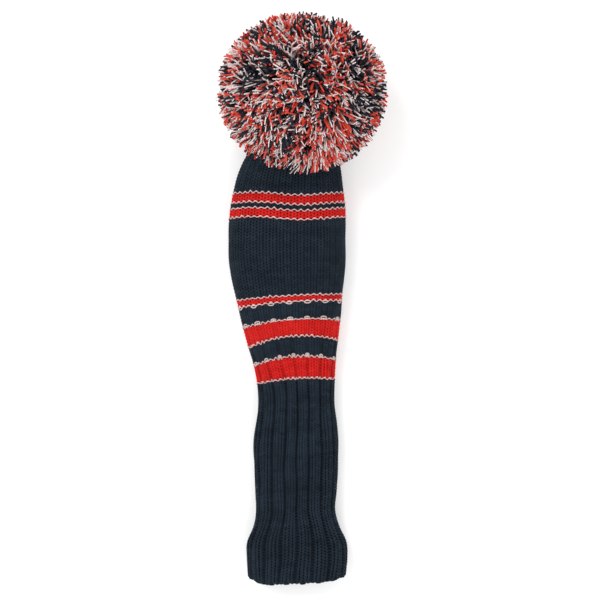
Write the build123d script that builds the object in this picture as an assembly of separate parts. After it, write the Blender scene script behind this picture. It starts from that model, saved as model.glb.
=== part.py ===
from build123d import *

import os
from math import atan2, cos, degrees, hypot, pi, radians, sin

# Knitted driver head cover with a yarn pom pom, lying on its back on a flat surface.
#
# The cover is a knitted tube: a wide crown for the club head, a taper with stripes, a narrow
# ribbed neck for the shaft and a flared cuff. X runs across the cover, +Y from the cuff to the
# pom pom, and +Z up from the surface it lies on. All sizes are millimetres.

# ---------------------------------------------------------------- fabric thicknesses
WALL = 3.6  # outer knit
SKIN_GAP = 0.3  # between the outer knit and whatever lies inside it
LINING = 1.5  # fleece lining of the crown
INNER_RIB = 2.7  # rib turned up inside the neck
THINNEST = 1.0  # smallest half size of an oval that is kept when the outline is inset
EDGING = 1.0  # one course of fine yarn on each side of a stripe

# ---------------------------------------------------------------- outline of the lying cover
# Each station: y, centre x, half width, underside and top. The underside is below the
# surface where the fabric is pressed flat, and the solids are cut off there.
STATIONS = [
    (-230.0, -4.5, 37.0, -4.0, 29.0),  # beyond the hem, cut off later
    (-203.0, -3.6, 39.9, -5.0, 34.0),  # cuff, at its widest
    (-191.0, -4.0, 39.2, -4.8, 33.5),
    (-180.0, -4.4, 34.5, -4.4, 31.2),
    (-168.0, -4.8, 31.8, -4.0, 29.0),  # waist above the cuff
    (-120.0, -4.6, 33.4, -4.0, 29.0),
    (-70.0, -4.6, 30.0, -4.0, 29.0),  # top of the ribbed neck
    (-37.0, -7.3, 35.5, -4.6, 33.0),
    (-5.0, -9.8, 41.5, -5.5, 39.0),
    (33.0, -11.6, 46.0, -6.0, 44.0),  # widest part of the crown
    (70.0, -11.0, 44.6, -6.0, 43.0),
    (96.0, -9.5, 40.3, -3.0, 43.0),
    (118.0, -6.0, 31.0, 12.0, 48.0),  # the crown rises to the pom pom
    (132.0, -3.0, 19.0, 28.0, 50.5),
    (142.0, -1.9, 6.0, 41.5, 51.5),  # gathered tip
]

# ---------------------------------------------------------------- knitted bands
# Height of each course line on the cover's centre, and its rise from left to right.
HEM_Y, HEM_RISE = -221.2, 0.05
CUFF_TOP_Y = -182.0
FLEX_LOW_Y, FLEX_HIGH_Y = -135.0, -75.0
STRIPES = {  # low edge, high edge, rise to the right
    "stripe_5": (-64.0, -48.0, 0.06),
    "stripe_4": (-34.0, -19.0, 0.07),
    "stripe_3": (-3.5, 2.5, 0.07),
    "stripe_2": (64.0, 71.0, 0.0),
    "stripe_1": (76.0, 83.5, 0.0),
}
TIP_Y = STATIONS[-1][0]
RISE_CENTRE_X = -5.0  # leaning course lines turn about this line

# ---------------------------------------------------------------- inner layers
INNER_RIB_TOP_Y = -140.0
HEM_ROLL = 4.0  # length of the fold that joins the two ribs at the hem
LINING_LOW_Y, LINING_END_Y = -30.0, 119.0
SEAM_THREAD_R, SEAM_STITCH = 0.6, 5.0
SEAM_STITCHES = 20
SEAM_Y = LINING_LOW_Y + 5.0
SEAM_INSET = WALL + SKIN_GAP + LINING + SEAM_THREAD_R + 1.0  # clear of the lining's curve
SEAM_LOWEST_Z = SEAM_INSET + 1.0  # no stitches on the flat underside

# ---------------------------------------------------------------- pom pom
POM = Vector(0.0, 158.6, 55.0)  # centre of the ball
POM_RADIUS = Vector(66.0, 64.0, 60.0)  # half sizes of the trimmed ball
CORE_R = 10.0  # waist of the bundle, where the yarn is bound
TUFT_BASE_R, TUFT_TIP_R = 0.9, 5.5
RINGS = [(0, 1), (22.5, 6), (45, 12), (67.5, 16), (90, 16), (112.5, 16), (135, 12)]
CROWN_SWEEP = (62.0, 62.0, 30.0)  # half angles that the crown needs: across, below and above
BINDING_R, BINDING_TURNS, BINDING_PITCH = 0.9, 3, 2.0
BINDING_DEPTH = 1.4  # how far the cord's centre is pulled into the waist
GROOVE_SLACK = 0.05

# ---------------------------------------------------------------- tie between ball and crown
TIE_R = 1.6  # thread-wrapped shank
TIE_CLEARANCE = 0.4
SHANK_LENGTH = 6.0  # between its two pivots
TAIL_R, TAIL_SPACING = 0.8, 2.4
TIP_HOLE_R, TIP_HOLE_DEPTH = 2.6, 20.0
BUTTON_R, BUTTON_THICK, BUTTON_HOLE_R, BUTTON_DEPTH = 6.0, 2.2, 1.0, 15.0
BUTTON_EDGE = 0.7
KNOT_R = 2.8
GATHER_R, GATHER_CORD_R = 4.2, 0.8

FAR = 300.0  # past every solid
SURFACE_Z = 0.0

TIP = Vector(STATIONS[-1][1], TIP_Y, (STATIONS[-1][3] + STATIONS[-1][4]) / 2)
TO_CROWN = (TIP - POM).normalized()
NOD_PIVOT = POM + TO_CROWN * (CORE_R + TIE_CLEARANCE + TIE_R)
SWING_PIVOT = NOD_PIVOT + TO_CROWN * SHANK_LENGTH


def section(station, inset):
    """One oval outline of the cover, moved inwards by inset."""
    y, x, half_width, low, high = station
    plane = Plane(origin=(x, y, (low + high) / 2), x_dir=(1, 0, 0), z_dir=(0, 1, 0))
    return plane * Ellipse(half_width - inset, (high - low) / 2 - inset)


def cover_body(inset):
    """The whole cover as one solid, inset all round, with its flat underside."""
    kept = [s for s in STATIONS if min(s[2], (s[4] - s[3]) / 2) > inset + THINNEST]
    body = loft([section(s, inset) for s in kept])
    above = Pos(0, 0, SURFACE_Z + inset + FAR) * Box(4 * FAR, 4 * FAR, 2 * FAR)
    return body & above


def course_line(y, rise):
    """Two points of a course line that rises from left to right about the cover's centre."""
    return [(x, y + rise * (x - RISE_CENTRE_X)) for x in (-FAR, FAR)]


def slab(low, high):
    """Everything between two course lines, each given as (y, rise)."""
    (a, b), (d, c) = course_line(*low), course_line(*high)
    return Pos(0, 0, -FAR) * extrude(make_face(Polyline(a, b, c, d, close=True)), 3 * FAR)


def between(solid, low, high):
    return solid & slab(low, high)


def knitted_shell():
    """The outer knit, cut into its bands of yarn from the cuff to the tip."""
    shell = cover_body(0) - cover_body(WALL)
    cuts = [("cuff", (HEM_Y + HEM_ROLL, HEM_RISE)), ("neck_lower", (CUFF_TOP_Y, 0.0))]
    cuts += [("neck_flex", (FLEX_LOW_Y, 0.0)), ("neck_upper", (FLEX_HIGH_Y, 0.0))]
    after = {"stripe_5": "band_4_5", "stripe_4": "band_3_4", "stripe_3": "crown_body"}
    after |= {"stripe_2": "band_1_2", "stripe_1": "crown_cap"}
    parts = {}
    for name, (low, high, rise) in STRIPES.items():
        cuts += [(name, (low, rise)), (after[name], (high, rise))]
        rings = [
            between(shell, (low, rise), (low + EDGING, rise)),
            between(shell, (high - EDGING, rise), (high, rise)),
        ]
        parts[name + "_edging"] = rings
    cuts.append(("end", (FAR, 0.0)))
    for (name, low), (_, high) in zip(cuts, cuts[1:]):
        if name in STRIPES:
            low, high = (low[0] + EDGING, low[1]), (high[0] - EDGING, high[1])
        parts[name] = [between(shell, low, high)]
    parts["crown_cap"] = [parts["crown_cap"][0] - tie_hole()]
    return parts


def tie_hole():
    """The opening left at the gathered tip for the tie cord."""
    return along_tie(Cylinder(TIP_HOLE_R, TIP_HOLE_DEPTH), 0.0)


def along_tie(shape, distance):
    """Puts a shape made about +Z on the line from the tip into the crown."""
    return Plane(origin=TIP + TO_CROWN * distance, z_dir=TO_CROWN, x_dir=(1, 0, 0)) * shape


def hem_roll():
    """The fold at the mouth, where the rib turns back inside."""
    ring = cover_body(0) - cover_body(WALL + SKIN_GAP + INNER_RIB)
    return between(ring, (HEM_Y, HEM_RISE), (HEM_Y + HEM_ROLL, HEM_RISE))


def inner_rib():
    outer = WALL + SKIN_GAP
    ring = cover_body(outer) - cover_body(outer + INNER_RIB)
    return between(ring, (HEM_Y + HEM_ROLL, HEM_RISE), (INNER_RIB_TOP_Y, 0.0))


def crown_lining():
    """A fleece pouch that follows the inside of the crown."""
    outer = WALL + SKIN_GAP
    pouch = between(cover_body(outer), (LINING_LOW_Y, 0.0), (LINING_END_Y, 0.0))
    hollow = between(cover_body(outer + LINING), (-FAR, 0.0), (LINING_END_Y - LINING, 0.0))
    return pouch - hollow


def lining_seam():
    """Short stitches round the mouth of the lining, on its inner face."""
    i = max(k for k, s in enumerate(STATIONS) if s[0] < SEAM_Y)
    share = (SEAM_Y - STATIONS[i][0]) / (STATIONS[i + 1][0] - STATIONS[i][0])
    pairs = zip(STATIONS[i], STATIONS[i + 1])
    _, x, half_width, low, high = [a + share * (b - a) for a, b in pairs]
    across, up = half_width - SEAM_INSET, (high - low) / 2 - SEAM_INSET
    stitches = []
    for k in range(SEAM_STITCHES):
        turn = 2 * pi * (k + 0.5) / SEAM_STITCHES
        z = (low + high) / 2 + up * sin(turn)
        if z > SEAM_LOWEST_Z:
            place = Pos(x + across * cos(turn), SEAM_Y, z)
            stitches.append(place * Rot(90, 0, 0) * Cylinder(SEAM_THREAD_R, SEAM_STITCH))
    return stitches


def tuft_length(direction):
    """From the ball's centre to the middle of the tuft's round end, above the surface below."""
    share = Vector(*(d / r for d, r in zip(direction, POM_RADIUS)))
    length = 1 / share.length - TUFT_TIP_R
    if direction.Z < 0:
        length = min(length, (POM.Z - SURFACE_Z - TUFT_TIP_R) / -direction.Z)
    return length


def heading(direction):
    """Angles of a direction: across from -Y towards +X, and up from level."""
    across = degrees(atan2(direction.X, -direction.Y))
    up = degrees(atan2(direction.Z, hypot(direction.X, direction.Y)))
    return across, up


def meets_crown(direction):
    """True for a tuft that the crown would meet somewhere in the ball's travel."""
    across, up = (a - b for a, b in zip(heading(direction), heading(TO_CROWN)))
    side, below, above = CROWN_SWEEP
    return hypot(across / side, up / (above if up > 0 else below)) < 1


def tuft(direction):
    """A bunch of yarn that widens from the waist to its round cut end."""
    length = tuft_length(direction)
    shape = Cone(TUFT_BASE_R, TUFT_TIP_R, length, align=(Align.CENTER, Align.CENTER, Align.MIN))
    shape += Pos(0, 0, length) * Sphere(TUFT_TIP_R)
    return Plane(origin=POM, z_dir=direction) * (shape - Sphere(CORE_R))


def pom_tufts():
    """Tufts of cut yarn all round the ball, shared out between the three colours."""
    colours = ["pom_yarn_navy", "pom_yarn_red", "pom_yarn_white"]
    parts = {name: [] for name in colours}
    placed = 0
    for polar, count in RINGS:
        for i in range(count):
            turn, lean = 2 * pi * i / count, radians(polar)
            direction = Vector(sin(lean) * cos(turn), cos(lean), sin(lean) * sin(turn))
            if not meets_crown(direction):
                parts[colours[placed % len(colours)]].append(tuft(direction))
                placed += 1
    return parts


def binding_ring(turn, cord_r):
    """One turn of cord round the waist, in a plane that holds the tie."""
    offset = (turn - (BINDING_TURNS - 1) / 2) * BINDING_PITCH
    return Rot(0, 90, 0) * Pos(0, 0, offset) * Torus(CORE_R - BINDING_DEPTH, cord_r)


def pom_waist():
    """The middle of the bundle, with a channel round it for the binding cord."""
    width = BINDING_TURNS * BINDING_PITCH
    channel_r = CORE_R - BINDING_DEPTH - BINDING_R - GROOVE_SLACK
    waist = Sphere(CORE_R) - Box(2 * CORE_R, 2 * CORE_R, width) + Cylinder(channel_r, width)
    return Pos(*POM) * Rot(0, 90, 0) * waist


def binding_cord():
    return [Pos(*POM) * binding_ring(i, BINDING_R) for i in range(BINDING_TURNS)]


def tie_cord():
    """Two tails through the tip and the button, knotted inside the crown."""
    start = (SWING_PIVOT - TIP).dot(TO_CROWN) + TIE_R + TIE_CLEARANCE
    end = BUTTON_DEPTH + BUTTON_THICK / 2 + KNOT_R
    cord = along_tie(Sphere(KNOT_R), end)
    for side in (-1, 1):
        tail = Cylinder(TAIL_R, end - start, align=(Align.CENTER, Align.CENTER, Align.MIN))
        cord += along_tie(Pos(side * TAIL_SPACING / 2, 0, start) * tail, 0.0)
    return cord


def anchor_button():
    button = Cylinder(BUTTON_R, BUTTON_THICK)
    button = fillet(button.edges().filter_by(GeomType.CIRCLE), BUTTON_EDGE)
    for side in (-1, 1):
        button -= Pos(side * TAIL_SPACING / 2, 0, 0) * Cylinder(BUTTON_HOLE_R, 2 * BUTTON_THICK)
    return along_tie(button, BUTTON_DEPTH)


def tie_shank():
    """Thread-wrapped shank with a round end at each of its two pivots."""
    shank = Cylinder(TIE_R, SHANK_LENGTH, align=(Align.CENTER, Align.CENTER, Align.MIN))
    shank += Sphere(TIE_R) + Pos(0, 0, SHANK_LENGTH) * Sphere(TIE_R)
    return Plane(origin=NOD_PIVOT, z_dir=TO_CROWN, x_dir=(1, 0, 0)) * shank


def gather_cord():
    """The cord run through the last course and pulled tight, resting on the tip."""
    return Pos(TIP.X, TIP_Y + GATHER_CORD_R, TIP.Z) * Rot(90, 0, 0) * Torus(GATHER_R, GATHER_CORD_R)


def main():
    parts = knitted_shell()
    parts |= pom_tufts()
    parts["hem_roll"] = [hem_roll()]
    parts["inner_rib"] = [inner_rib()]
    parts["crown_lining"] = [crown_lining()]
    parts["lining_seam"] = lining_seam()
    parts["gather_cord"] = [gather_cord()]
    parts["pom_waist"] = [pom_waist()]
    parts["binding_cord"] = binding_cord()
    parts["tie_shank"] = [tie_shank()]
    parts["tie_cord"] = [tie_cord()]
    parts["anchor_button"] = [anchor_button()]
    os.makedirs("parts", exist_ok=True)
    for name, solids in parts.items():
        pieces = [solid for shape in solids for solid in shape.solids()]
        export_step(Compound(children=pieces) if len(pieces) > 1 else pieces[0], f"parts/{name}.step")
    whole = Compound(children=[s for solids in parts.values() for shape in solids for s in shape.solids()])
    print("nodes", len(parts), "box", whole.bounding_box())
    print("swing pivot", SWING_PIVOT, "nod pivot", NOD_PIVOT, "tie axis", TO_CROWN)


main()
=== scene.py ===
"""Looks of a knitted driver head cover with a yarn pom pom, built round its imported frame."""
import math

import bpy
import numpy as np
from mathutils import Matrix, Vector


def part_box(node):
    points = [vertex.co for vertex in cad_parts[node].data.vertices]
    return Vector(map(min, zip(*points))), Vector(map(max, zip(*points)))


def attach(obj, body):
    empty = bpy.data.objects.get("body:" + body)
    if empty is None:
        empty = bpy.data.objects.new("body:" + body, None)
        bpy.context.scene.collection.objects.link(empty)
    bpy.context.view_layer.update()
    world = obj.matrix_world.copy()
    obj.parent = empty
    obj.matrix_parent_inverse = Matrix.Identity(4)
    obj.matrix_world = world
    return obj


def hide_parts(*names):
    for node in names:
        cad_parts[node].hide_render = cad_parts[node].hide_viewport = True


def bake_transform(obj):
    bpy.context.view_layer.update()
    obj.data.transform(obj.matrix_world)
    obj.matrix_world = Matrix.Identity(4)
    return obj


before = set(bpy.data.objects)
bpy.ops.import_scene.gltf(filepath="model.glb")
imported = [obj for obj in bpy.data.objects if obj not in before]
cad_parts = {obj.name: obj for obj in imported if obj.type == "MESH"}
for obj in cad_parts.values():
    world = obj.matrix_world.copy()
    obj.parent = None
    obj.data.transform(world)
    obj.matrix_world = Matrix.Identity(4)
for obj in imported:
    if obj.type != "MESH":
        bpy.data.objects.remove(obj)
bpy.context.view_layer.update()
MM = 0.001
rng = np.random.default_rng(14)

# ------------------------------------------------------------------ the cover's outline, in metres
# Each row: height along the cover, centre across it, half width, underside and top.
OUTLINE = np.array([
    (-0.2300, -0.0045, 0.0370, -0.0040, 0.0290),
    (-0.2160, -0.0040, 0.0392, -0.0048, 0.0325),
    (-0.2030, -0.0036, 0.0399, -0.0050, 0.0340),
    (-0.1910, -0.0040, 0.0392, -0.0048, 0.0335),
    (-0.1800, -0.0044, 0.0345, -0.0044, 0.0312),
    (-0.1680, -0.0048, 0.0318, -0.0040, 0.0290),
    (-0.1500, -0.0046, 0.0322, -0.0040, 0.0288),
    (-0.1200, -0.0046, 0.0334, -0.0040, 0.0290),
    (-0.0700, -0.0046, 0.0300, -0.0040, 0.0290),
    (-0.0370, -0.0073, 0.0355, -0.0046, 0.0330),
    (-0.0050, -0.0098, 0.0415, -0.0055, 0.0390),
    (0.0330, -0.0116, 0.0460, -0.0060, 0.0440),
    (0.0700, -0.0110, 0.0446, -0.0060, 0.0430),
    (0.0960, -0.0095, 0.0403, -0.0030, 0.0430),
    (0.1180, -0.0060, 0.0310, 0.0120, 0.0480),
    (0.1320, -0.0030, 0.0190, 0.0280, 0.0505),
    (0.1420, -0.0019, 0.0060, 0.0415, 0.0515),
])
CENTRE_X = -0.005
HALF_ACROSS = 0.042  # the distance that counts as one across the cover
FLOOR_SOFTNESS = 0.0015  # how softly the underside turns flat on the surface below

# ------------------------------------------------------------------ the knit
WALES = 42  # columns of stitches round the tube
RIB_WALES = 3  # two knit and one purl
COURSE = 2.25 * MM  # height of one row
INNER_COURSE = 2.6 * MM  # rows of the rib inside, stretched a little
YARN_R = 0.79 * MM
FINE_YARN_R = 0.34 * MM
EDGING_POINTS = 8
EDGING_RISE = 0.75 * MM
EDGING_LIFT = 0.95 * MM
LEG_LEAN = 0.27  # how far a stitch leans, in columns
LOOP_HEIGHT = 0.72  # half height of a loop, in rows
STITCH_POINTS = 12
STITCH_END_PAINTED_SHADE = 0.55  # painted shade: how much darker the sunk ends of a stitch, where loops cross, are painted than its legs
STITCH_VARIATION = 0.14  # how much stitches differ in tone
ROW_VARIATION = 0.10  # how much rows differ in tone
YARN_SIDES = 6
KNIT_INSET = 1.15 * MM  # middle of the yarn, under the outside of the cover
BACKING_INSET = 1.85 * MM
WALL = 3.6 * MM
RIB_START_Y, RIB_FULL_Y = 0.006, -0.086
RIB_DEPTH = 2.4 * MM
VALLEY_WIDTH = 0.15  # of a rib's width
RIB_CROWN = 0.25  # how far a rib rounds off towards its valleys, in rib depths
PURL_SHARE = 0.075  # of a rib's width, taken by each half of its purl column
RIB_CROWDING = 0.0135  # ribs of the pressed neck crowd towards its top, in turns
RIB_SWAYS = [  # share of a turn, waviness along, shift round the tube and start
    (0.006, 24.0, 0.0, 1.1),
    (0.0035, 61.0, 6.0, 0.0),
    (0.0018, 140.0, 25.0, 0.0),
]
LUMP_HEIGHT = 0.6 * MM  # slow unevenness of the lying fabric

STRIPES = {  # low edge and high edge at the middle of the cover
    "stripe_5": (-0.0640, -0.0480),
    "stripe_4": (-0.0332, -0.0190),
    "stripe_3": (-0.0042, 0.0008),
    "stripe_2": (0.0613, 0.0683),
    "stripe_1": (0.0728, 0.0803),
}
HEM_Y = -0.2212
HEM_R = 3.0 * MM
HEM_ROWS = 5
CUFF_TOP_Y = -0.1820
INNER_RIB_TOP_Y = -0.140
YARN_TOP_Y = 0.128
TIP_Y = 0.1420


def smoothstep(low, high, x):
    t = np.clip((x - low) / (high - low), 0.0, 1.0)
    return t * t * (3.0 - 2.0 * t)


def hermite(knots, values, x):
    """Smooth curve through the outline's rows, evaluated at x."""
    slopes = np.gradient(values, knots)
    i = np.clip(np.searchsorted(knots, x) - 1, 0, len(knots) - 2)
    h = knots[i + 1] - knots[i]
    t = (x - knots[i]) / h
    a = (1 + 2 * t) * (1 - t) ** 2 * values[i] + t * (1 - t) ** 2 * h * slopes[i]
    return a + t * t * (3 - 2 * t) * values[i + 1] + t * t * (t - 1) * h * slopes[i + 1]


class Cover:
    """The outside of the cover as a table of points and outward normals, by height and way round."""

    def __init__(self, rows=400, around=720):
        y = np.linspace(OUTLINE[0, 0], OUTLINE[-1, 0], rows)
        x, half, low, high = (hermite(OUTLINE[:, 0], OUTLINE[:, k], y)[:, None] for k in range(1, 5))
        fine = np.linspace(-np.pi / 2, 3 * np.pi / 2, 2 * around + 1)[None, :]
        px = x + half * np.cos(fine)
        pz = (high + low) / 2 + (high - low) / 2 * np.sin(fine)
        pressed = FLOOR_SOFTNESS * np.log1p(np.exp(np.clip(pz / FLOOR_SOFTNESS, -30, 30)))
        pz = np.where(pz < FLOOR_SOFTNESS * 4, pressed, pz)
        step = np.hypot(np.diff(px, axis=1), np.diff(pz, axis=1))
        length = np.concatenate([np.zeros((rows, 1)), np.cumsum(step, axis=1)], axis=1)
        turn = np.linspace(0, 1, around + 1)
        table = np.zeros((rows, around + 1, 3))
        for r in range(rows):
            table[r, :, 0] = np.interp(turn * length[r, -1], length[r], px[r])
            table[r, :, 2] = np.interp(turn * length[r, -1], length[r], pz[r])
        table[:, :, 1] = y[:, None]
        across = (np.roll(table[:, :-1], -1, axis=1) - np.roll(table[:, :-1], 1, axis=1))
        across = np.concatenate([across, across[:, :1]], axis=1)
        along = np.gradient(table, axis=0)
        normal = np.cross(along, across)
        normal /= np.linalg.norm(normal, axis=2, keepdims=True)
        out = np.sign(np.sum(normal[rows // 2, around // 2] * np.array([0, 0, 1.0])))
        self.y0, self.dy, self.around = y[0], y[1] - y[0], around
        self.table, self.normal = table, normal * out

    def at(self, y, turn):
        """Points and normals at a height and a share of the way round, from the underside."""
        r = np.clip((y - self.y0) / self.dy, 0, self.table.shape[0] - 1.001)
        c = np.mod(turn, 1.0) * self.around
        r0, c0 = r.astype(int), np.minimum(c.astype(int), self.around - 1)
        fr, fc = (r - r0)[..., None], (c - c0)[..., None]
        out = []
        for grid in (self.table, self.normal):
            low = grid[r0, c0] * (1 - fc) + grid[r0, c0 + 1] * fc
            high = grid[r0 + 1, c0] * (1 - fc) + grid[r0 + 1, c0 + 1] * fc
            out.append(low * (1 - fr) + high * fr)
        point, normal = out
        point[..., 1] += y - (self.y0 + r * self.dy)
        return point, normal / np.linalg.norm(normal, axis=-1, keepdims=True)


COVER = Cover()

STRIPE_LEAN = 0.0026  # rise of the lower stripes at the right edge
WAVE_HEIGHT, WAVE_LENGTH, WAVE_CREST_X = 0.0012, 0.076, -0.039  # of the two stripes on the crown
HEM_CORNER_LEFT, HEM_CORNER_RIGHT, HEM_LEAN, HEM_DROP = 0.0055, 0.0030, 0.0018, 0.0012

# How much the courses of the taper arch over the top of the cover, and where the arch is level.
ARCH_Y = [-0.110, -0.064, -0.048, -0.033, -0.019, 0.010]
ARCH_HEIGHT = [0.0, 0.0050, 0.0085, 0.0085, 0.0042, 0.0]
ARCH_CENTRE = [0.20, 0.16, 0.24, 0.36, 0.45, 0.45]


def course_lean(y, x, z_share):
    """How far a course is pulled up or down, across the cover: leaning stripes and their arches."""
    across = (x - CENTRE_X) / HALF_ACROSS
    lean = (STRIPE_LEAN * across) * smoothstep(0.030, -0.010, y)
    arch = np.interp(y, ARCH_Y, ARCH_HEIGHT) * (np.interp(y, ARCH_Y, ARCH_CENTRE) - across ** 2)
    crown = smoothstep(0.040, 0.060, y) * smoothstep(0.125, 0.100, y)
    wave = WAVE_HEIGHT * np.cos(2 * np.pi * (x - WAVE_CREST_X) / WAVE_LENGTH) * crown
    hem = smoothstep(-0.188, -0.216, y)
    lift = np.where(across > 0, HEM_CORNER_RIGHT, HEM_CORNER_LEFT)
    corner = lift * smoothstep(0.55, 1.0, np.abs(across)) + HEM_LEAN * across - HEM_DROP
    return lean * (1 - hem) + corner * hem + arch * z_share + wave * z_share


def rib_share(y):
    return smoothstep(RIB_START_Y, RIB_FULL_Y, y)


def rib_place(wale, rib):
    """Where a wale coordinate sits within its rib, 0 and 1 at the purl valleys."""
    c = np.mod(wale, RIB_WALES)
    even = c / RIB_WALES
    narrow = np.interp(c, [0.0, 0.5, 1.5, 2.5, 3.0], [0.0, PURL_SHARE, 0.5, 1 - PURL_SHARE, 1.0])
    return even * (1 - rib) + narrow * rib


def rib_relief(place, rib):
    """Height of the rib's ridge above its valley, zero at the crest."""
    away = np.minimum(place, 1 - place)
    valley = np.exp(-(away / VALLEY_WIDTH) ** 2)
    return -(RIB_DEPTH * valley + RIB_CROWN * RIB_DEPTH * (2 * place - 1) ** 2) * rib


def knit_point(y, wale, inset):
    """A place on the knit: y may vary per point, wale counts round the tube."""
    rib = rib_share(y)
    place = rib_place(wale, rib)
    turn = (np.floor(wale / RIB_WALES) + place) * RIB_WALES / WALES
    crowding = RIB_CROWDING * rib * smoothstep(-0.185, -0.165, y)
    sway = sum(
        size * np.sin(y * along + shift * turn + start) for size, along, shift, start in RIB_SWAYS)
    wander = sway * rib * np.sin(np.pi * np.mod(turn, 1.0)) ** 2
    turn = turn - crowding * np.sin(4 * np.pi * (turn - 0.5)) + wander
    point, _ = COVER.at(y, turn)
    z_share = smoothstep(0.004, 0.018, point[..., 2])
    y_lean = y + course_lean(y, point[..., 0], z_share)
    point, normal = COVER.at(y_lean, turn)
    relief = rib_relief(place, rib)
    lumps = LUMP_HEIGHT * np.sin(57 * y + 9 * turn * 2 * np.pi) * np.sin(3 * 2 * np.pi * turn + 90 * y)
    return point + normal * (relief - inset + lumps)[..., None], normal, place, rib


# ------------------------------------------------------------------ mesh building
def make_mesh(name, points, quads, uv, tone, material_index):
    """A mesh object from arrays: points (n,3), quads (m,4), one uv and one tone per point."""
    mesh = bpy.data.meshes.new(name)
    mesh.vertices.add(len(points))
    mesh.vertices.foreach_set("co", np.ascontiguousarray(points, dtype=np.float32).ravel())
    mesh.loops.add(quads.size)
    mesh.loops.foreach_set("vertex_index", quads.astype(np.int32).ravel())
    mesh.polygons.add(len(quads))
    mesh.polygons.foreach_set("loop_start", np.arange(0, quads.size, 4, dtype=np.int32))
    mesh.polygons.foreach_set("use_smooth", np.full(len(quads), True))
    mesh.polygons.foreach_set("material_index", material_index.astype(np.int32))
    layer = mesh.uv_layers.new(name="yarn")
    layer.data.foreach_set("uv", uv[quads.ravel()].astype(np.float32).ravel())
    attribute = mesh.attributes.new("tone", "FLOAT", "POINT")
    attribute.data.foreach_set("value", tone.astype(np.float32))
    mesh.update(calc_edges=True)
    mesh.validate()
    piece = bpy.data.objects.new(name, mesh)
    bpy.context.scene.collection.objects.link(piece)
    return piece


class Bundle:
    """Collects tubes and sheets of points into one mesh."""

    def __init__(self):
        self.points, self.quads, self.uv, self.tone, self.slots = [], [], [], [], []
        self.count = 0

    def add(self, points, quads, uv, tone, slot):
        self.points.append(points.reshape(-1, 3))
        self.quads.append(quads + self.count)
        self.uv.append(uv.reshape(-1, 2))
        self.tone.append(tone.ravel())
        self.slots.append(np.full(len(quads), slot))
        self.count += points.reshape(-1, 3).shape[0]

    def make(self, name, materials):
        joined = [np.concatenate(a) for a in (self.points, self.quads, self.uv, self.tone, self.slots)]
        piece = make_mesh(name, *joined)
        for material in materials:
            piece.data.materials.append(material)
        return piece


def grid_quads(rows, columns, wrap_rows=False, wrap_columns=True):
    """Faces of a grid of points; columns run fastest."""
    r = np.arange(rows if wrap_rows else rows - 1)
    c = np.arange(columns if wrap_columns else columns - 1)
    r, c = np.meshgrid(r, c, indexing="ij")
    r1, c1 = (r + 1) % rows, (c + 1) % columns
    low, high = r * columns, r1 * columns
    return np.stack([low + c, low + c1, high + c1, high + c], axis=-1).reshape(-1, 4)


def tube_round(path, side, radius, flat=1.0, sides=YARN_SIDES, closed=True):
    """Points of a tube along a path; side is a direction roughly across the path."""
    if closed:
        tangent = np.roll(path, -1, axis=0) - np.roll(path, 1, axis=0)
    else:
        tangent = np.gradient(path, axis=0)
    tangent /= np.linalg.norm(tangent, axis=1, keepdims=True) + 1e-12
    other = np.cross(tangent, side)
    other /= np.linalg.norm(other, axis=1, keepdims=True) + 1e-12
    out = np.cross(other, tangent)
    angle = np.linspace(0, 2 * np.pi, sides, endpoint=False)[None, :, None]
    radius = np.broadcast_to(radius, (len(path),))
    ring = other[:, None] * np.cos(angle) + flat * out[:, None] * np.sin(angle)
    return path[:, None] + ring * radius[:, None, None]


def edging_course(bundle, y):
    """A fine yarn caught between two rows, in a shallow zigzag that follows their stitches."""
    t = np.arange(WALES * EDGING_POINTS) / EDGING_POINTS
    peak = np.abs(2 * np.mod(t, 1.0) - 1)
    uneven = (1 + rng.normal(0, 0.30, WALES)).repeat(EDGING_POINTS)
    height = (1 - 2 * peak) * EDGING_RISE * uneven + 0.00012 * np.sin(1.7 * t + 90 * y)
    point, normal, place, rib = knit_point(y + height, t + 0.5, KNIT_INSET)
    sunk = rib_relief(place, rib)
    point = point + normal * (EDGING_LIFT - 0.45 * sunk + 0.0002 * np.cos(4 * np.pi * t))[:, None]
    thick = FINE_YARN_R * (1 + 0.45 * smoothstep(0.35, 0.0, peak)) * (1 + 0.1 * np.sin(5.1 * t))
    rings = tube_round(point, normal, thick)
    uv = np.zeros((*rings.shape[:2], 2))
    uv[..., 0] = (t * 5)[:, None]
    uv[..., 1] = (np.arange(YARN_SIDES) / YARN_SIDES)[None, :]
    # painted shade: the zigzag's lower turns are painted darker than its upper turns
    bundle.add(rings, grid_quads(len(point), YARN_SIDES, wrap_rows=True)[:, ::-1], uv,
               np.broadcast_to((0.2 - peak * 0.5)[:, None], rings.shape[:2]), 0)


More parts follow.
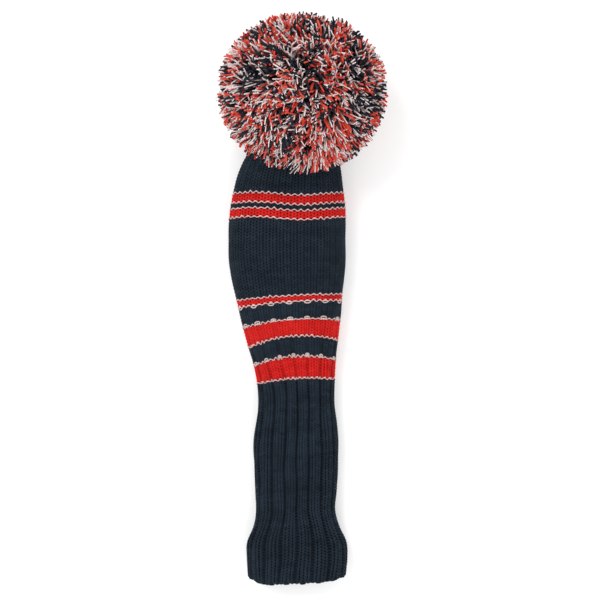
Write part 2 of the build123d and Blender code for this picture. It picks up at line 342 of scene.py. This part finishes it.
def stitch_course(bundle, y, tone, radius=YARN_R, inset=KNIT_INSET):
    """One row of knit and purl loops right round the tube."""
    t = np.arange(WALES * STITCH_POINTS) / STITCH_POINTS
    phase = 2 * np.pi * np.mod(t, 1.0)
    rib = rib_share(y)
    c = np.mod(t + 0.5, RIB_WALES)
    purl = smoothstep(0.80, 0.45, np.minimum(c, RIB_WALES - c)) * rib
    wiggle = rng.normal(0, 0.045, WALES).repeat(STITCH_POINTS)
    across = t + LEG_LEAN * np.sin(2 * phase) * (1 - 0.45 * purl)
    rise = -np.cos(phase)
    height = rise * COURSE * LOOP_HEIGHT * (1 + wiggle)
    depth = YARN_R * (-0.55 * np.cos(2 * phase) * (1 - 2 * purl) - 0.42 * rise * (1 - purl))
    wale = across + 0.5
    point, normal, place, _ = knit_point(y + height, wale, inset)
    point = point + normal * depth[:, None]
    thick = radius * (1 + 0.05 * np.sin(7.3 * t + 40 * y))
    rings = tube_round(point, normal, thick, flat=0.86)
    length = np.concatenate([[0], np.cumsum(np.linalg.norm(np.diff(point, axis=0), axis=1))])
    u = np.broadcast_to((length / MM)[:, None], rings.shape[:2])
    v = np.broadcast_to(np.arange(YARN_SIDES) / YARN_SIDES, rings.shape[:2])
    per_stitch = rng.normal(0, 1, WALES).repeat(STITCH_POINTS)
    # painted shade: the sunk ends of each loop, where it crosses its neighbours, are painted darker than
    # its legs
    sunk = np.cos(2 * phase) * (1 - 0.8 * purl) + 0.5 * rise
    shade = tone + STITCH_VARIATION * per_stitch - STITCH_END_PAINTED_SHADE * sunk
    bundle.add(rings, grid_quads(len(point), YARN_SIDES, wrap_rows=True)[:, ::-1],
               np.stack([u, v], -1), np.broadcast_to(shade[:, None], rings.shape[:2]), 0)


def backing(bundle, low, high, inset=BACKING_INSET, inner=WALL, slot=1):
    """The body of the knit behind its loops: a closed ring with a ribbed outer face. In slot 1 it takes
    the darker back material, painted shade in the gaps between the loops.
    """
    rows = max(int(abs(high - low) / (2.2 * MM)) + 2, 3)
    y = np.linspace(low, high, rows)
    wale = np.arange(WALES * 4) / 4.0
    yy, ww = np.meshgrid(y, wale, indexing="ij")
    outer, normal, _, rib = knit_point(yy, ww, inset)
    inner_face = outer - normal * (inner - inset)
    inner_face = np.where((rib > 0.3)[..., None], inner_face + normal * 0.0004, inner_face)
    sheet = np.concatenate([outer, inner_face[::-1]], axis=0)
    uv = np.stack([ww / 4, yy / COURSE], -1)
    uv = np.concatenate([uv, uv[::-1]], axis=0)
    bundle.add(sheet, grid_quads(2 * rows, WALES * 4, wrap_rows=True)[:, ::-1], uv,
               np.zeros(sheet.shape[:2]), slot)


# ------------------------------------------------------------------ materials
def new_material(name, roughness, sheen, sheen_tint=(1, 1, 1, 1), specular=0.2):
    material = bpy.data.materials.new(name)
    material.use_nodes = True
    shader = material.node_tree.nodes["Principled BSDF"]
    shader.inputs["Roughness"].default_value = roughness
    shader.inputs["Sheen Weight"].default_value = sheen
    shader.inputs["Sheen Roughness"].default_value = 0.45
    shader.inputs["Sheen Tint"].default_value = sheen_tint
    shader.inputs["Specular IOR Level"].default_value = specular
    return material, material.node_tree, shader


def node(tree, kind, **inputs):
    made = tree.nodes.new(kind)
    for key, value in inputs.items():
        made.inputs[key.replace("_", " ")].default_value = value
    return made


def yarn_material(name, dark, base, light, sheen=0.35, ply_per_mm=0.42, fleck=None, ply_depth=0.55):
    """Plied yarn: strands twisted round it with painted shade in the grooves between plies, fine fibre,
    and a tone per point that drifts from stitch to stitch and also carries the painted shade set on the
    points.
    """
    material, tree, shader = new_material(name, 0.86, sheen, (*[min(1, c * 3 + 0.1) for c in base], 1))
    link = tree.links.new
    uv = tree.nodes.new("ShaderNodeUVMap")
    uv.uv_map = "yarn"
    split = tree.nodes.new("ShaderNodeSeparateXYZ")
    link(uv.outputs["UV"], split.inputs[0])
    along = node(tree, "ShaderNodeMath")
    along.operation = "MULTIPLY_ADD"
    link(split.outputs["X"], along.inputs[0])
    along.inputs[1].default_value = ply_per_mm
    link(split.outputs["Y"], along.inputs[2])
    turns = node(tree, "ShaderNodeMath")
    turns.operation = "MULTIPLY"
    link(along.outputs[0], turns.inputs[0])
    turns.inputs[1].default_value = 2 * math.pi * 3
    wave = node(tree, "ShaderNodeMath")
    wave.operation = "SINE"
    link(turns.outputs[0], wave.inputs[0])
    place = tree.nodes.new("ShaderNodeTexCoord")
    fibre = node(tree, "ShaderNodeTexNoise", Scale=2600.0, Detail=3.0, Roughness=0.65)
    link(place.outputs["Object"], fibre.inputs["Vector"])
    patch = node(tree, "ShaderNodeTexNoise", Scale=55.0, Detail=2.0)
    link(place.outputs["Object"], patch.inputs["Vector"])
    tone = tree.nodes.new("ShaderNodeAttribute")
    tone.attribute_name = "tone"
    # painted shade: the colour follows the ply wave, darker in the grooves between plies, mixed with
    # fibre noise
    mix = node(tree, "ShaderNodeMath")
    mix.operation = "MULTIPLY_ADD"
    link(wave.outputs[0], mix.inputs[0])
    mix.inputs[1].default_value = 0.12
    link(fibre.outputs["Fac"], mix.inputs[2])
    # the tone attribute brings in random tone and the painted shade of stitch ends, edging turns and the
    # pom's core
    add = node(tree, "ShaderNodeMath")
    add.operation = "MULTIPLY_ADD"
    link(tone.outputs["Fac"], add.inputs[0])
    add.inputs[1].default_value = 0.35
    link(mix.outputs[0], add.inputs[2])
    add2 = node(tree, "ShaderNodeMath")
    add2.operation = "MULTIPLY_ADD"
    link(patch.outputs["Fac"], add2.inputs[0])
    add2.inputs[1].default_value = 0.35
    link(add.outputs[0], add2.inputs[2])
    ramp = tree.nodes.new("ShaderNodeValToRGB")
    ramp.color_ramp.elements[0].position = 0.35
    ramp.color_ramp.elements[0].color = (*dark, 1)
    ramp.color_ramp.elements[1].position = 1.0
    ramp.color_ramp.elements[1].color = (*light, 1)
    middle = ramp.color_ramp.elements.new(0.67)
    middle.color = (*base, 1)
    link(add2.outputs[0], ramp.inputs["Fac"])
    colour = ramp.outputs["Color"]
    if fleck is not None:
        spot = node(tree, "ShaderNodeTexNoise", Scale=700.0, Detail=2.0)
        link(place.outputs["Object"], spot.inputs["Vector"])
        step = tree.nodes.new("ShaderNodeValToRGB")
        step.color_ramp.elements[0].position = 0.56
        step.color_ramp.elements[1].position = 0.68
        link(spot.outputs["Fac"], step.inputs["Fac"])
        blend = tree.nodes.new("ShaderNodeMix")
        blend.data_type = "RGBA"
        link(step.outputs["Color"], blend.inputs["Factor"])
        link(colour, blend.inputs["A"])
        blend.inputs["B"].default_value = (*fleck, 1)
        colour = blend.outputs["Result"]
    link(colour, shader.inputs["Base Color"])
    height = node(tree, "ShaderNodeMath")
    height.operation = "MULTIPLY_ADD"
    link(wave.outputs[0], height.inputs[0])
    height.inputs[1].default_value = ply_depth
    link(fibre.outputs["Fac"], height.inputs[2])
    bump = node(tree, "ShaderNodeBump", Strength=0.55, Distance=0.00035)
    link(height.outputs[0], bump.inputs["Height"])
    link(bump.outputs["Normal"], shader.inputs["Normal"])
    return material


# Each yarn's colours: painted shade deep between its plies, over most of it, and painted highlight on its
# lit fibres.
NAVY = yarn_material(
    "navy_yarn", (0.0010, 0.0022, 0.0045), (0.0048, 0.0102, 0.0180), (0.017, 0.030, 0.046), sheen=0.07)
# painted shade: the backing is the same yarn painted darker, standing for the shade in the gaps between
# loops
NAVY_BACK_PAINTED_SHADE = yarn_material(
    "navy_knit_back_painted_shade", (0.001, 0.002, 0.004), (0.003, 0.005, 0.008), (0.006, 0.009, 0.014), sheen=0.03)
RED = yarn_material(
    "red_yarn", (0.33, 0.004, 0.004), (0.56, 0.007, 0.007), (0.72, 0.020, 0.015), sheen=0.05)
# painted shade in the gaps between loops, as for the navy backing
RED_BACK_PAINTED_SHADE = yarn_material(
    "red_knit_back_painted_shade", (0.14, 0.004, 0.004), (0.24, 0.008, 0.007), (0.33, 0.015, 0.012), sheen=0.1)
PALE = yarn_material(
    "edging_yarn", (0.42, 0.26, 0.25), (0.68, 0.52, 0.50), (0.86, 0.78, 0.76), sheen=0.2)
POM_NAVY = yarn_material(
    "pom_navy", (0.006, 0.007, 0.012), (0.010, 0.013, 0.021), (0.03, 0.035, 0.05), sheen=0.1)
POM_RED = yarn_material(
    "pom_red", (0.36, 0.012, 0.010), (0.70, 0.050, 0.030), (0.90, 0.17, 0.11), sheen=0.1)
POM_WHITE = yarn_material(
    "pom_white", (0.52, 0.37, 0.36), (0.88, 0.77, 0.75), (0.97, 0.95, 0.94), sheen=0.2,
    fleck=(0.62, 0.16, 0.14))
FLEECE = yarn_material(
    "fleece", (0.012, 0.014, 0.018), (0.03, 0.034, 0.042), (0.06, 0.066, 0.08), sheen=0.6)


def speckled(name, dark, light, scale, roughness, bump_strength):
    """A plain material broken up by fine noise, for small pieces without a yarn map."""
    material, tree, shader = new_material(name, roughness, 0.1, specular=0.3)
    place = tree.nodes.new("ShaderNodeTexCoord")
    noise = node(tree, "ShaderNodeTexNoise", Scale=scale, Detail=3.0)
    tree.links.new(place.outputs["Object"], noise.inputs["Vector"])
    ramp = tree.nodes.new("ShaderNodeValToRGB")
    ramp.color_ramp.elements[0].position = 0.35
    ramp.color_ramp.elements[0].color = (*dark, 1)
    ramp.color_ramp.elements[1].position = 0.68
    ramp.color_ramp.elements[1].color = (*light, 1)
    tree.links.new(noise.outputs["Fac"], ramp.inputs["Fac"])
    tree.links.new(ramp.outputs["Color"], shader.inputs["Base Color"])
    bump = node(tree, "ShaderNodeBump", Strength=bump_strength, Distance=0.0002)
    tree.links.new(noise.outputs["Fac"], bump.inputs["Height"])
    tree.links.new(bump.outputs["Normal"], shader.inputs["Normal"])
    return material


# ------------------------------------------------------------------ the knitted tube
BANDS = [  # piece, low edge, high edge, yarn
    ("neck_lower", CUFF_TOP_Y, -0.1350, "navy"),
    ("neck_flex", -0.1350, -0.0750, "navy"),
    ("neck_upper", -0.0750, -0.0640, "navy"),
    ("stripe_5", -0.0640, -0.0480, "red"),
    ("band_4_5", -0.0480, -0.0332, "navy"),
    ("stripe_4", -0.0332, -0.0190, "red"),
    ("band_3_4", -0.0190, -0.0042, "navy"),
    ("stripe_3", -0.0042, 0.0008, "red"),
    ("crown_body", 0.0008, 0.0613, "navy"),
    ("stripe_2", 0.0613, 0.0683, "red"),
    ("band_1_2", 0.0683, 0.0728, "navy"),
    ("stripe_1", 0.0728, 0.0803, "red"),
    ("crown_cap", 0.0803, YARN_TOP_Y, "navy"),
]


def courses(low, high, height=COURSE):
    """Even rows of knit between two edges, about one course apart."""
    count = max(int(round((high - low) / height)), 1)
    return low + (np.arange(count) + 0.5) * (high - low) / count


def knit_bands():
    pieces = {}
    for name, low, high, colour in BANDS:
        bundle = Bundle()
        for y in courses(low, high):
            stitch_course(bundle, y, rng.normal(0, ROW_VARIATION))
        top = TIP_Y if name == "crown_cap" else high
        backing(bundle, low, top)
        materials = [NAVY, NAVY_BACK_PAINTED_SHADE] if colour == "navy" else [RED, RED_BACK_PAINTED_SHADE]
        piece = bundle.make(name + "_knit", materials)
        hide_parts(name)
        pieces[name] = piece
    return pieces


BUMP_POINTS = 14
BUMP_HALF_WIDTH = 0.50  # in columns
BUMP_OFFSET, BUMP_HALF_HEIGHT, BUMP_LIFT = 0.9 * MM, 1.0 * MM, 0.9 * MM
PURL_BUMPS = {"stripe_5": 1, "stripe_4": 1, "stripe_3": -1}  # above or below the stripe


def purl_bumps(bundle, edge, side):
    """Small oval loops of the pale yarn where it crosses a purl column."""
    turn = 2 * np.pi * np.arange(BUMP_POINTS) / BUMP_POINTS
    for rib in range(WALES // RIB_WALES):
        size = 0.85 + 0.3 * rng.random()
        wale = rib * RIB_WALES + BUMP_HALF_WIDTH * size * np.cos(turn)
        y = edge + BUMP_OFFSET * side + BUMP_HALF_HEIGHT * size * np.sin(turn)
        point, normal, place, share = knit_point(y, wale, KNIT_INSET)
        relief = rib_relief(place, share)
        point = point + normal * (BUMP_LIFT - relief * 0.75)[:, None]
        rings = tube_round(point, normal, FINE_YARN_R * 1.25)
        uv = np.zeros((*rings.shape[:2], 2))
        uv[..., 0] = (turn * 2)[:, None]
        faces = grid_quads(BUMP_POINTS, YARN_SIDES, wrap_rows=True)[:, ::-1]
        bundle.add(rings, faces, uv, np.zeros(rings.shape[:2]), 0)


def knit_edgings():
    """A fine pale yarn caught along both edges of every stripe."""
    for name, (low, high) in STRIPES.items():
        bundle = Bundle()
        for edge in (low, high):
            edging_course(bundle, edge)
        if name in PURL_BUMPS:
            side = PURL_BUMPS[name]
            purl_bumps(bundle, high if side > 0 else low, side)
        piece = bundle.make(name + "_pale_edging", [PALE])
        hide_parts(name + "_edging")
        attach(piece, "crown")


def knit_cuff():
    """The cuff, the fold at its mouth and the rib turned up inside."""
    bundle = Bundle()
    for y in courses(HEM_Y + HEM_R, CUFF_TOP_Y):
        stitch_course(bundle, y, rng.normal(0, ROW_VARIATION))
    backing(bundle, HEM_Y + HEM_R, CUFF_TOP_Y)
    cuff = bundle.make("cuff_knit", [NAVY, NAVY_BACK_PAINTED_SHADE])
    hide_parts("cuff")

    roll = Bundle()
    for k in range(HEM_ROWS):
        angle = math.pi * (k + 0.5) / HEM_ROWS
        y = HEM_Y + HEM_R - HEM_R * math.sin(angle)
        depth = HEM_R * 0.75 * (1 - math.cos(angle))
        stitch_course(roll, y, rng.normal(0, ROW_VARIATION), inset=KNIT_INSET + depth)
    hem = roll.make("hem_fold_knit", [NAVY])
    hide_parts("hem_roll")
    inner = Bundle()
    inset = KNIT_INSET + 1.5 * HEM_R
    for y in courses(HEM_Y + HEM_R, INNER_RIB_TOP_Y, INNER_COURSE):
        stitch_course(inner, y, rng.normal(0, ROW_VARIATION), inset=inset, radius=YARN_R * 0.85)
    turned = inner.make("inner_rib_knit", [NAVY])
    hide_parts("inner_rib")
    for piece in (cuff, hem, turned):
        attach(piece, "neck")


# ------------------------------------------------------------------ the pom pom
POM = Vector(((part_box("pom_waist")[0][0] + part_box("pom_waist")[1][0]) / 2, 0.1586, 0.055))
POM_HALF = np.array([0.066, 0.064, 0.060])
BUNCHES = 560
STRANDS_PER_BUNCH = 15
STRAND_POINTS = 6
STRAND_SIDES = 4
STRAND_R = {"navy": 1.00 * MM, "red": 0.92 * MM, "white": 0.62 * MM}
BUNCH_MIXES = {  # share of navy, red and white strands in each kind of bunch
    "navy": (0.66, 0.04, 0.30),
    "red": (0.04, 0.50, 0.46),
    "marl": (0.17, 0.22, 0.61),
}
BUNCH_SHARES = (0.36, 0.34, 0.30)
NAVY_BUNCH, RED_BUNCH = 0, 1
RED_PATCHES = [  # where red bunches lie together on top: x, y from the ball's centre and radius, in mm
    (22, 34, 9), (-10, 36, 7), (-15, -11, 9), (-40, -37, 9),
    (19, -48, 14), (51, -38, 7), (-53, 31, 9), (-17, 59, 7),
]
NAVY_PATCHES = [
    (-14, 23, 9), (-42, 6, 9), (14, 55, 8), (44, 33, 10), (4, -7, 7),
    (21, -20, 6), (55, -20, 8), (-54, -22, 7), (39, -47, 6),
]
NEAR_CROWN_Y = 0.138  # strands that end below this lie against the crown
DIP_DEPTH, DIP_TURN, DIP_WIDTH = 0.11, -0.30, 0.26  # over the crown; share of the size, and radians
FLAT_DEPTH, FLAT_WIDTH = 0.06, 0.7  # at the end away from the crown
PARTING = np.array([0.013, 0.015, -0.006])  # the strands part round a point beside the ball's centre


def crown_lift(point):
    """Moves points out of the crown, up to its top, so that strands lie over it."""
    y = point[..., 1]
    along = np.clip(y, -0.2, TIP_Y)
    x, half, low, high = (hermite(OUTLINE[:, 0], OUTLINE[:, k], along) for k in range(1, 5))
    across = np.clip((point[..., 0] - x) / (half + 0.001), -1, 1)
    middle, rise = (high + low) / 2, (high - low) / 2
    top = middle + rise * np.sqrt(1 - across ** 2) + 0.0012
    inside = (np.abs(point[..., 0] - x) < half + 0.001) & (y < TIP_Y) & (point[..., 2] < top)
    above = point[..., 2] > middle - 0.012
    lifted = point.copy()
    lifted[..., 2] = np.where(inside & above, top, point[..., 2])
    return lifted, inside


def trimmed(direction):
    """Share of the ball's size left in a direction: it is flat at its end and dips over the crown."""
    turn = np.arctan2(direction[0], -direction[1])
    level = 1 - direction[2] ** 2
    dip = DIP_DEPTH * math.exp(-((turn - DIP_TURN) / DIP_WIDTH) ** 2) * level
    flat = FLAT_DEPTH * math.exp(-(math.remainder(turn - math.pi, 2 * math.pi) / FLAT_WIDTH) ** 2) * level
    return 1 - dip - flat


def pom_strands():
    """Cut yarn in bunches of one colour, bent over at their ends and lying over the crown."""
    centre = np.array(POM)
    index = np.arange(BUNCHES) + 0.5
    polar = np.arccos(1 - 2 * index / BUNCHES)
    turn = np.pi * (1 + 5 ** 0.5) * index
    aim = np.stack([np.sin(polar) * np.cos(turn), np.sin(polar) * np.sin(turn), np.cos(polar)], -1)
    aim += rng.normal(0, 0.07, aim.shape)
    aim /= np.linalg.norm(aim, axis=1, keepdims=True)
    kinds = rng.choice(3, BUNCHES, p=BUNCH_SHARES)
    ends = aim / np.linalg.norm(aim / POM_HALF, axis=1, keepdims=True) / MM
    for patches, kind in ((RED_PATCHES, RED_BUNCH), (NAVY_PATCHES, NAVY_BUNCH)):
        for x, y, radius in patches:
            kinds[(np.hypot(ends[:, 0] - x, ends[:, 1] - y) < radius) & (ends[:, 2] > 0)] = kind
    mixes = list(BUNCH_MIXES.values())
    thick = list(STRAND_R.values())
    bundles = {(c, near): Bundle() for c in range(3) for near in (False, True)}
    caps = np.array([[3, 2, 1, 0], np.arange(4) + (STRAND_POINTS - 1) * STRAND_SIDES])
    quads = np.concatenate([grid_quads(STRAND_POINTS, STRAND_SIDES)[:, ::-1], caps[:, ::-1]])
    t = np.linspace(0.40, 1.0, STRAND_POINTS)
    for b in range(BUNCHES):
        lean = rng.normal(0, 1, 3)
        lean -= lean @ aim[b] * aim[b]
        lean /= np.linalg.norm(lean)
        reach_b = min(rng.normal(0.965, 0.028), 0.99)
        for s in range(STRANDS_PER_BUNCH):
            d = aim[b] + rng.normal(0, 0.062, 3)
            d /= np.linalg.norm(d)
            cut = min(reach_b * rng.normal(1.0, 0.020), 1.0) * trimmed(d)
            end = d * cut / np.linalg.norm(d / POM_HALF) - PARTING
            length = np.linalg.norm(end)
            d = end / length
            own = 0.85 * lean + rng.normal(0, 0.50, 3)
            own -= own @ d * d
            bend = 0.20 * length * np.clip((t - 0.50) / 0.50, 0, 1) ** 2
            from_centre = PARTING + d * (t * length)[:, None] + own * bend[:, None]
            out = np.linalg.norm(from_centre / POM_HALF, axis=1)
            path = centre + from_centre * np.minimum(1, (cut + 0.012) / out)[:, None]
            path[:, 2] -= 0.004 * np.clip(t - 0.6, 0, 1) * (1 - abs(d[2]))
            path[:, 2] = np.maximum(path[:, 2], 0.0016 + 0.001 * rng.random())
            path, touches = crown_lift(path)
            if touches[-3:].any() and path[-1, 2] < 0.030:
                continue
            near = bool(touches[-3:].any() or path[-1, 1] < NEAR_CROWN_Y)
            which = int(rng.choice(3, p=mixes[kinds[b]]))
            radius = thick[which] * (0.85 + 0.3 * rng.random()) * np.where(t > 0.98, 0.72, 1.0)
            rings = tube_round(path, np.broadcast_to(np.cross(d, own), path.shape), radius,
                               sides=STRAND_SIDES, closed=False)
            u = np.broadcast_to((t * length / MM)[:, None], rings.shape[:2])
            v = np.broadcast_to(np.arange(STRAND_SIDES) / STRAND_SIDES, rings.shape[:2])
            # painted shade: each strand is painted darker towards the ball's core and lighter at its tip,
            # on top of a random tone per strand
            tone = np.full(rings.shape[:2], rng.normal(0, 0.22)) + (t - 0.85)[:, None] * 0.8
            bundles[(which, near)].add(rings, quads, np.stack([u, v], -1), tone, 0)
    names = ["navy", "red", "white"]
    materials = [POM_NAVY, POM_RED, POM_WHITE]
    for (which, near), bundle in bundles.items():
        suffix = "strands_over_crown" if near else "strands"
        piece = bundle.make(f"pom_{names[which]}_{suffix}", [materials[which]])
        if near:
            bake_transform(piece)
        else:
            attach(piece, "pom")
            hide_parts("pom_yarn_" + names[which])


# ------------------------------------------------------------------ inside pieces
def fleece_pouch():
    """Soft lining of the crown, closed at its top end."""
    bundle = Bundle()
    low, high = -0.030, 0.119
    backing(bundle, low, high, inset=4.1 * MM, inner=5.4 * MM, slot=0)
    piece = bundle.make("fleece_pouch", [FLEECE])
    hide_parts("crown_lining")
    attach(piece, "crown")


def dress_cad_nodes():
    """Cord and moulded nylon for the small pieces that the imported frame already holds."""
    cord = speckled("twisted_cord", (0.008, 0.010, 0.016), (0.035, 0.042, 0.060), 1500.0, 0.9, 0.6)
    nylon = speckled("moulded_nylon", (0.018, 0.021, 0.028), (0.030, 0.034, 0.043), 420.0, 0.42, 0.05)
    bound = speckled("bound_yarn", (0.004, 0.006, 0.010), (0.022, 0.032, 0.048), 900.0, 0.9, 1.0)
    looks = dict.fromkeys(("gather_cord", "tie_cord", "tie_shank", "binding_cord", "lining_seam"), cord)
    looks |= {"anchor_button": nylon, "pom_waist": bound}
    for name, material in looks.items():
        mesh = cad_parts[name].data
        mesh.materials.clear()
        mesh.materials.append(material)


# ------------------------------------------------------------------ stage
SOFT_BOXES = [  # place, width in metres and power
    ((-0.9, 0.9, 1.6), 1.1, 22),
    ((1.1, -0.5, 1.5), 1.2, 10),
    ((0, -1.3, 0.9), 0.9, 5),
]
FLOOR_Z = -0.0012  # just under the lowest loop
CAMERA_PLACE = (-0.0015, -0.0023, 2.6)
FRAME_WIDTH, FRAME_Z = 0.468, 0.02  # what the camera takes in, at the height of the cover's middle


def stage():
    bpy.ops.object.select_all(action="DESELECT")
    bpy.ops.mesh.primitive_plane_add(size=6, location=(0, 0, FLOOR_Z))
    floor = bpy.context.object
    floor.name = "floor"
    floor.data.transform(floor.matrix_world)
    floor.matrix_world.identity()
    material, tree, shader = new_material("pale_floor", 0.9, 0.0, specular=0.1)
    shader.inputs["Base Color"].default_value = (0.86, 0.86, 0.86, 1)
    shader.inputs["Emission Color"].default_value = (1, 1, 1, 1)
    shader.inputs["Emission Strength"].default_value = 0.2
    floor.data.materials.append(material)
    world = bpy.data.worlds.new("studio")
    bpy.context.scene.world = world
    world.use_nodes = True
    world.node_tree.nodes["Background"].inputs["Color"].default_value = (1, 1, 1, 1)
    world.node_tree.nodes["Background"].inputs["Strength"].default_value = 0.75
    for place, size, power in SOFT_BOXES:
        light = bpy.data.lights.new("soft_box", "AREA")
        light.size = size
        light.energy = power
        lamp = bpy.data.objects.new("soft_box", light)
        bpy.context.scene.collection.objects.link(lamp)
        lamp.location = place
        lamp.rotation_euler = (Vector((0, 0, 0)) - Vector(place)).to_track_quat("-Z", "Y").to_euler()
    bpy.context.scene.view_settings.view_transform = "Standard"


def camera():
    data = bpy.data.cameras.new("camera")
    made = bpy.data.objects.new("camera", data)
    bpy.context.scene.collection.objects.link(made)
    made.location = CAMERA_PLACE
    data.lens_unit = "FOV"
    data.angle = 2 * math.atan(FRAME_WIDTH / 2 / (CAMERA_PLACE[2] - FRAME_Z))
    bpy.context.scene.camera = made


camera()
stage()
bands = knit_bands()
for name, piece in bands.items():
    if name == "neck_lower":
        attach(piece, "neck")
    elif name == "neck_flex":
        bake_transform(piece)
    else:
        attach(piece, "crown")
knit_edgings()
knit_cuff()
fleece_pouch()
pom_strands()
dress_cad_nodes()
